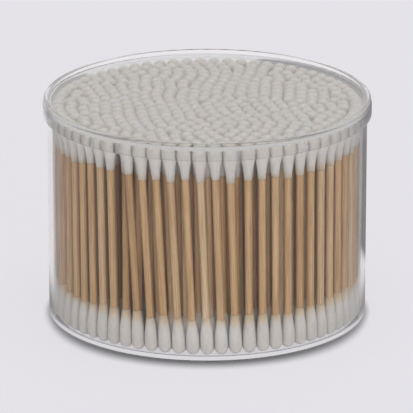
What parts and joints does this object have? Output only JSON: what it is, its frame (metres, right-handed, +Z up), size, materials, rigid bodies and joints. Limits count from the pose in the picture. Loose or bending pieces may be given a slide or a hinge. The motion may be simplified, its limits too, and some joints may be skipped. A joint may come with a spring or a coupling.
{
  "type": "tub of cotton swabs",
  "caption": "Round clear plastic tub packed with upright cotton swabs on bamboo sticks, closed by a clear lid with a raised rim and a stepped skirt that lifts straight off",
  "frame": {"origin": "middle of the tub's foot, on the surface that the tub stands on", "axes": "+Z up along the tub's axis, -Y towards the front of the picture, +X to its right"},
  "size_m": [0.116, 0.116, 0.0798],
  "materials": {
    "clear_plastic": "clear, smooth and glossy",
    "bamboo": "raw, fine straight grain",
    "cotton": "soft wound cotton"
  },
  "bodies": {
    "tub": {"lower_buds_01": "cotton", "lower_buds_02": "cotton", "lower_buds_03": "cotton", "lower_buds_04": "cotton", "lower_buds_05": "cotton", "lower_buds_06": "cotton", "lower_buds_07": "cotton", "lower_buds_08": "cotton", "lower_buds_09": "cotton", "lower_buds_10": "cotton", "lower_buds_11": "cotton", "lower_buds_12": "cotton", "lower_buds_13": "cotton", "lower_buds_14": "cotton", "lower_buds_15": "cotton", "lower_buds_16": "cotton", "lower_buds_17": "cotton", "sticks_01": "bamboo", "sticks_02": "bamboo", "sticks_03": "bamboo", "sticks_04": "bamboo", "sticks_05": "bamboo", "sticks_06": "bamboo", "sticks_07": "bamboo", "sticks_08": "bamboo", "sticks_09": "bamboo", "sticks_10": "bamboo", "sticks_11": "bamboo", "sticks_12": "bamboo", "sticks_13": "bamboo", "sticks_14": "bamboo", "sticks_15": "bamboo", "sticks_16": "bamboo", "sticks_17": "bamboo", "tub": "clear_plastic", "upper_buds_01": "cotton", "upper_buds_02": "cotton", "upper_buds_03": "cotton", "upper_buds_04": "cotton", "upper_buds_05": "cotton", "upper_buds_06": "cotton", "upper_buds_07": "cotton", "upper_buds_08": "cotton", "upper_buds_09": "cotton", "upper_buds_10": "cotton", "upper_buds_11": "cotton", "upper_buds_12": "cotton", "upper_buds_13": "cotton", "upper_buds_14": "cotton", "upper_buds_15": "cotton", "upper_buds_16": "cotton", "upper_buds_17": "cotton"},
    "lid": {"lid": "clear_plastic"}
  },
  "joints": [
    {"name": "lid_lift", "type": "slide", "parent": "tub", "child": "lid", "axis": [0, 0, 1], "range_m": [0, 0.04]}
  ]
}
